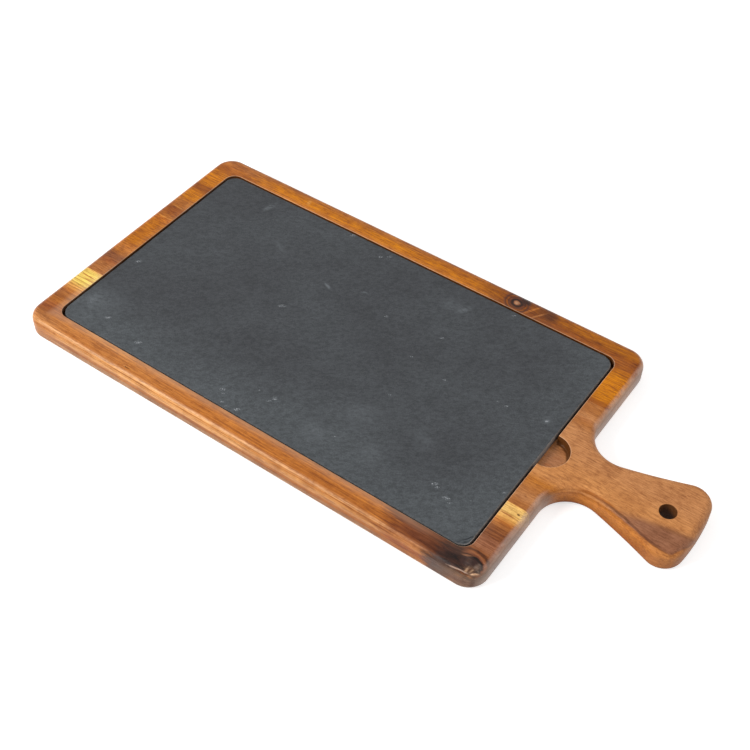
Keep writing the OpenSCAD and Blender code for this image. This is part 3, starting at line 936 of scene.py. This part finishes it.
stoneTones = {
    "plain": (83, 85, 88), "dusty": (97, 101, 104), "smudge": (122, 127, 131), "chip": (170, 174, 178),
    "edge": (150, 142, 136), "shelf": (104, 108, 111), "riserDark": (40, 42, 45),
}
stoneNoises = {"cloud": ((0.018, 0.018, 0.018), 4, 0.55, 2.0), "grit": ((1.3, 1.3, 1.3), 4, 0.7, 4.0),
               "rub": ((0.3, 0.5, 0.5), 4, 0.7, 12.0), "break": ((1.5, 1.5, 1.5), 3, 0.7, 15.0)}
cleftNoises = {"broad": ((0.05, 0.09, 0.09), 4, 0.6, 5.0), "mottle": ((0.38, 0.6, 0.6), 3, 0.6, 6.0)}
stoneShades = {"broad": (0.5, 226), "mottle": (0.8, 200), "grit": (0.7, 186)}  # share and darkest grey
splitStone = {
    "gloss": 0.22, "glossVeil": 0.016, "nearDust": (-86, -30, 0.85, 0.0), "headDust": (55, 108, 0.0, 0.5),
    "cloudDust": (0.35, 0.68, 0.0, 0.4), "shadeRun": (0.34, 0.62),
    "rubEdge": (0.32, 0.62), "smudgeRagged": 1.2, "smudgeEdge": (0.0, 1.15),
    "breakEdge": (0.5, 0.6), "chipSize": (1.8, 0.9), "chipEdge": (0.4, 1.1), "chipGlow": 1.6,
    "dressedGrit": (0.35, 0.6, 0.35, 0.8), "flakedShare": 0.6, "riserShare": 0.95,
    "rough": (0.2, 0.52), "mottleRelief": 0.7, "gritRelief": 0.3, "bump": (0.6, 0.0004),
}
# (x, y, reach along, reach across, turn, share) of each smudge
smudges = [
    (-142.3, 69, 2.6, 7, -12, 0.55),
    (-174.5, -62, 5, 9, 12, 0.35),
    (-170, -60, 18, 20, 0, 0.2),
    (13, 64, 3, 8, -25, 0.4),
    (5, 63, 9, 8, 0, 0.22),
    (11.5, -41, 13, 13, 0, 0.26),
    (-4, -65, 10, 8, 0, 0.24),
    (32, -60, 11, 8, 0, 0.16),
    (50, -35, 11, 8, -30, 0.14),
    (-66.5, 31.6, 4.2, 1.4, -20, 0.8),
    (-45, 40.3, 2.8, 1.1, 8, 0.9),
    (-112, 42, 8, 3.5, -25, 0.25),
    (98, 17.5, 2.4, 3.4, 0, 0.5),
]
# (x, y, length, brightness) of each chip
chips = [
    (-81.7, 78.7, 1.3, 0.6), (-51, 76, 1.1, 0.5), (-55.6, 72.6, 1.0, 0.5), (-78.5, 1.3, 1.7, 0.4),
    (-175.6, -20.5, 1.4, 0.55), (-156.5, -68, 1.5, 0.5), (-127.7, -72.6, 1.6, 0.8),
    (39.9, 77.5, 0.9, 0.5), (-36, -59, 0.8, 0.4), (82.6, -61, 1.2, 0.5), (-63.8, -71.8, 1.3, 0.65),
    (-61.5, -74, 0.8, 0.5), (-58, -79, 0.8, 0.6), (-54, -80, 0.8, 0.5), (-47.5, -78.5, 1.3, 0.8),
    (-46.5, -60, 0.7, 0.4), (-37, -63, 1.0, 0.5), (15, 36, 0.9, 0.7), (-22, 31.4, 1.0, 0.6),
    (9, 13, 0.6, 0.6), (34.5, 8.7, 0.8, 0.6), (74, 13, 0.9, 0.6), (68, 13, 0.6, 0.4),
    (15.8, -19, 0.7, 0.5), (97.8, 16.5, 0.9, 0.7), (71.3, -56.6, 1.3, 0.7), (73.8, -57.6, 0.9, 0.6),
    (81, -60.8, 1.1, 0.5), (84.5, -62.5, 0.7, 0.6), (8.5, -62, 0.6, 0.5), (93, -55, 0.5, 0.5),
    (104.5, -40, 0.8, 0.6), (-35, -60, 0.9, 0.6),
]


def faceSpot(x, y, along, across, turn):
    # an ellipsoid that the plate's face cuts
    return {"at": (x, y, 14), "reach": (along, across, 5), "turn": turn}


def slateFinish(name):
    s = splitStone
    f = Finish(name, s["gloss"])
    shades = {key: tuple(max(0.002, c - s["glossVeil"]) for c in paint(*value)[:3]) + (1,)
              for key, value in stoneTones.items()}
    x, y = f.split(f.place)[:2]
    grainTurn = math.radians(-cleft["Grain Angle"])
    turned = f.add("ShaderNodeMapping", {0: f.place, 2: (0, 0, grainTurn)}).outputs[0]
    stone = {**f.noises(f.place, stoneNoises), **f.noises(turned, cleftNoises)}
    dust = f.calc("ADD", f.step(y, *s["nearDust"]), f.step(x, *s["headDust"]))
    share = f.calc("ADD", dust, f.step(stone["cloud"], *s["cloudDust"]), clamp=True)
    colour = f.mix(share, shades["plain"], shades["dusty"])
    darkest, plain = s["shadeRun"]
    for key, (share, grey) in stoneShades.items():
        colour = f.shaded(share, colour, stone[key], {darkest: (grey, grey, grey), plain: white})
    rubs = f.step(stone["rub"], *s["rubEdge"])
    for *place, strength in smudges:
        reach = shifted(f, f.ellipse(faceSpot(*place))[1], stone["grit"], s["smudgeRagged"])
        share = f.product(f.step(reach, *s["smudgeEdge"], strength, 0.0), rubs)
        colour = f.mix(share, colour, shades["smudge"])
    breaks = f.step(stone["break"], *s["breakEdge"])
    along, across = s["chipSize"]
    for chipX, chipY, length, brightness in chips:
        chip = faceSpot(chipX, chipY, along * length, across * length, cleft["Grain Angle"])
        share = f.step(f.ellipse(chip)[1], *s["chipEdge"], min(1.0, s["chipGlow"] * brightness), 0.0)
        colour = f.mix(f.product(share, breaks), colour, shades["chip"])
    dressed = f.product(f.attribute("dressed"), f.step(stone["grit"], *s["dressedGrit"]))
    colour = f.mix(dressed, colour, shades["edge"])
    colour = f.mix(f.product(f.attribute("flaked"), s["flakedShare"]), colour, shades["shelf"])
    # the flake's riser is painted dark
    colour = f.mix(f.product(f.attribute("riser"), s["riserShare"]), colour, shades["riserDark"])
    rough = f.calc("MULTIPLY_ADD", stone["mottle"], *s["rough"])
    grit = f.calc("MULTIPLY", stone["grit"], s["gritRelief"])
    relief = f.calc("MULTIPLY_ADD", stone["mottle"], s["mottleRelief"], grit)
    return f.finished(colour, rough, relief, *s["bump"])


slatePiece = finishMesh("slatePlateStone", slateMesh(), slate["sharpAngle"])
stone = slateFinish("splitSlate")
useTree(slatePiece, cleftTree(), {**cleft, "Stone": stone})
bakeModifiers(slatePiece)
print("scene: slate plate,", len(slatePiece.data.polygons), "faces")

looks = {"near": nearLook, "centre": centreLook, "far": farLook}
for name, piece in staves.items():
    piece.data.materials.clear()
    piece.data.materials.append(woodFinish(name + "StaveOil", looks[name]))
    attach(piece, "board")
    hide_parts(name + "_stave")
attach(slatePiece, "slate")
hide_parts("slate_plate")
print("scene: pieces seated on their bodies")

# camera, floor and light

photoView = {"target": (0.39, -11.95, 15), "distance": 709.5, "pitch": 47.779, "yaw": 34.776,
             "roll": 0.987, "lens": 59.129, "sensor": 36}
studio = {"ambient": 0.51, "floorGlow": 0.58, "floorTone": 0.75, "floorReach": 3, "floorDrop": 0.05}
# where each softbox stands from the board, its distance and its size in metres, and its power in watts
softboxes = {"keySoftbox": ((-0.50, -0.65, 0.58), 2.2, 0.9, 36),
             "fillSoftbox": ((0.77, 0.34, 0.50), 2.4, 1.0, 12)}


def addCamera():
    pitch, yaw, roll = (math.radians(photoView[k]) for k in ("pitch", "yaw", "roll"))
    ahead = Vector((-math.sin(yaw) * math.cos(pitch), math.cos(yaw) * math.cos(pitch), -math.sin(pitch)))
    level = Vector((math.cos(yaw), math.sin(yaw), 0))
    up = level.cross(ahead)
    right = level * math.cos(roll) + up * math.sin(roll)
    top = up * math.cos(roll) - level * math.sin(roll)
    camera = bpy.data.objects.new("photoCamera", bpy.data.cameras.new("photoCamera"))
    camera.data.lens = photoView["lens"]
    camera.data.sensor_width = photoView["sensor"]
    camera.data.clip_start, camera.data.clip_end = 0.01, 20
    turned = Matrix((right, top, -ahead)).transposed().to_4x4()
    turned.translation = (Vector(photoView["target"]) - ahead * photoView["distance"]) * mm
    camera.matrix_world = turned
    bpy.context.scene.collection.objects.link(camera)
    bpy.context.scene.camera = camera


def addSoftbox(name, fromWhere, distance, size, power):
    lamp = bpy.data.objects.new(name, bpy.data.lights.new(name, "AREA"))
    lamp.data.shape, lamp.data.size, lamp.data.energy = "DISK", size, power
    where = Vector(fromWhere).normalized() * distance
    lamp.location = where
    lamp.rotation_mode = "QUATERNION"
    lamp.rotation_quaternion = (-where).to_track_quat("-Z", "Y")
    bpy.context.scene.collection.objects.link(lamp)


def seenDirectly(t):
    # 1 for what the camera, a gloss or a glass sees, 0 for the light that falls on the object
    ray = t.add("ShaderNodeLightPath", {}).outputs
    seen = t.calc("MAXIMUM", ray["Is Camera Ray"], ray["Is Glossy Ray"])
    return t.calc("MAXIMUM", seen, ray["Is Transmission Ray"])


def addWorld():
    world = bpy.data.worlds.new("paleStudio")
    bpy.context.scene.world = world
    world.use_nodes = True
    t = Nodes(world.node_tree)
    backdrop = t.nodes["Background"].inputs
    strength = t.add("ShaderNodeMapRange", {0: seenDirectly(t), 3: studio["ambient"], 4: 1.0}).outputs[0]
    t.put((1, 1, 1, 1), backdrop["Color"])
    t.put(strength, backdrop["Strength"])


def addFloor():
    reach = studio["floorReach"]
    mesh = bmesh.new()
    for x, y in ((-reach, -reach), (reach, -reach), (reach, reach), (-reach, reach)):
        mesh.verts.new((x, y, -studio["floorDrop"] * mm))
    mesh.faces.new(mesh.verts[:])
    data = bpy.data.meshes.new("studioFloor")
    mesh.to_mesh(data)
    mesh.free()
    floor = bpy.data.objects.new("studioFloor", data)
    bpy.context.scene.collection.objects.link(floor)
    paper = bpy.data.materials.new("whitePaper")
    paper.use_nodes = True
    t = Nodes(paper.node_tree)
    shader = t.nodes["Principled BSDF"].inputs
    t.put((*[studio["floorTone"]] * 3, 1), shader["Base Color"])
    t.put(0.9, shader["Roughness"])
    t.put(0.1, shader["Specular IOR Level"])
    t.put((1, 1, 1, 1), shader["Emission Color"])
    t.put(t.calc("MULTIPLY", seenDirectly(t), studio["floorGlow"]), shader["Emission Strength"])
    data.materials.append(paper)


addCamera()
for name, values in softboxes.items():
    addSoftbox(name, *values)
addWorld()
addFloor()
bpy.context.scene.view_settings.view_transform = "Standard"
print("scene: camera and light set")
